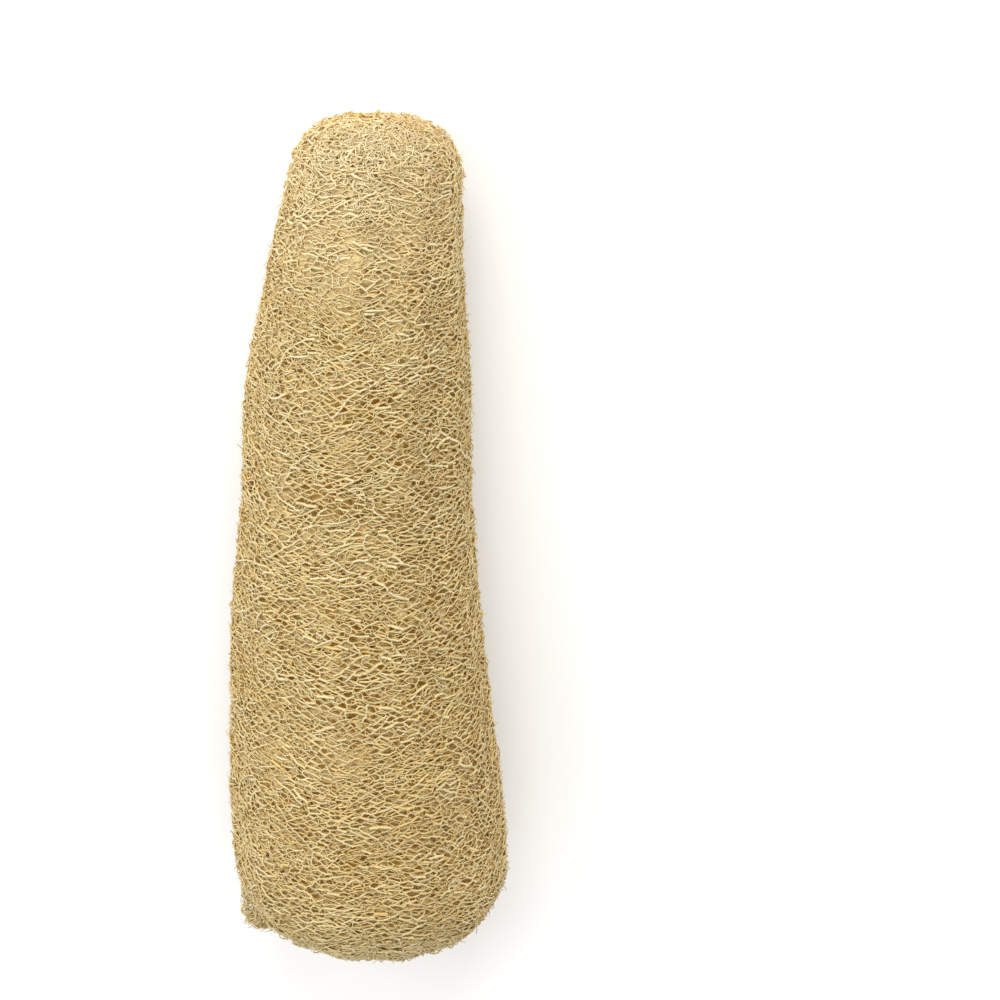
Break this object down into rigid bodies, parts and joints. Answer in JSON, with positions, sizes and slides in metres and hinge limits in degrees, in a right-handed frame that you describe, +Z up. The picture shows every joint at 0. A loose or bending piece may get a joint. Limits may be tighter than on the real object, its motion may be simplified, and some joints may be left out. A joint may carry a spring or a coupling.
{
  "type": "natural loofah sponge",
  "caption": "Whole dried loofah lying on its side: a long tapering gourd skeleton with a raised net of woven plant fibre, used for scrubbing.",
  "frame": {"origin": "middle of the box round the sponge, on the surface that it lies on", "axes": "+Y along the sponge towards its narrow stem end, +Z up, +X to the side"},
  "size_m": [0.0978, 0.3004, 0.0853],
  "materials": {
    "loofah_fibre": "dry matte straw-coloured plant fibre in an open net, darker brown in the openings"
  },
  "bodies": {
    "root": {"loofah_sponge": "loofah_fibre"}
  },
  "joints": []
}
